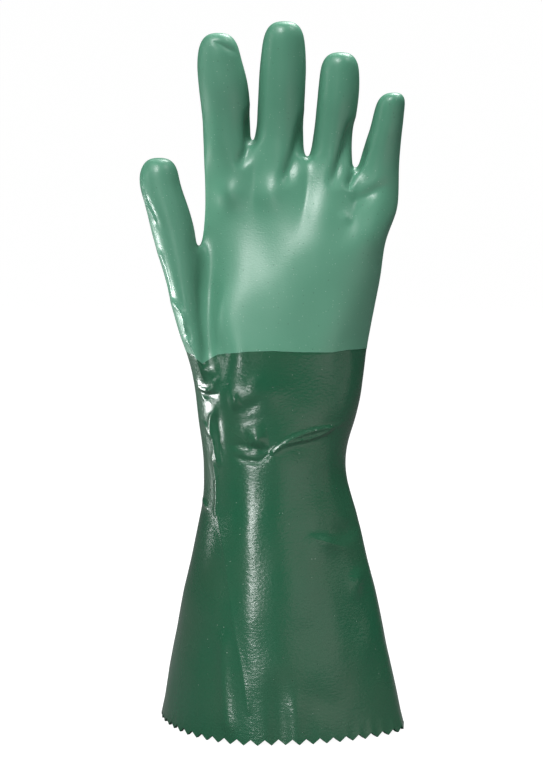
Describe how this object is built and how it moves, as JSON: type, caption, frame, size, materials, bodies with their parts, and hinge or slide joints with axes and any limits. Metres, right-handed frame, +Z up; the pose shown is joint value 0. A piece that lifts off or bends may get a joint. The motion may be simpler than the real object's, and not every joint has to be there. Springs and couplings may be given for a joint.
{
  "type": "chemical-resistant gauntlet glove",
  "caption": "Left-hand rubber gauntlet glove, hollow, with light green hand, dark green flared cuff and pinked hem, standing on its hem.",
  "frame": {"origin": "middle of the base, on the surface that the hem stands on", "axes": "+Z up from the hem to the fingertips, +X towards the little finger, -Y the way the palm faces"},
  "size_m": [0.1274, 0.08, 0.3443],
  "materials": {
    "hand": "semi-gloss light green dipped rubber with a fine pitted grain",
    "gauntlet": "glossy dark green dipped rubber with a fine pebbled grain"
  },
  "bodies": {
    "root": {"hand": "hand", "gauntlet": "gauntlet"}
  },
  "joints": []
}
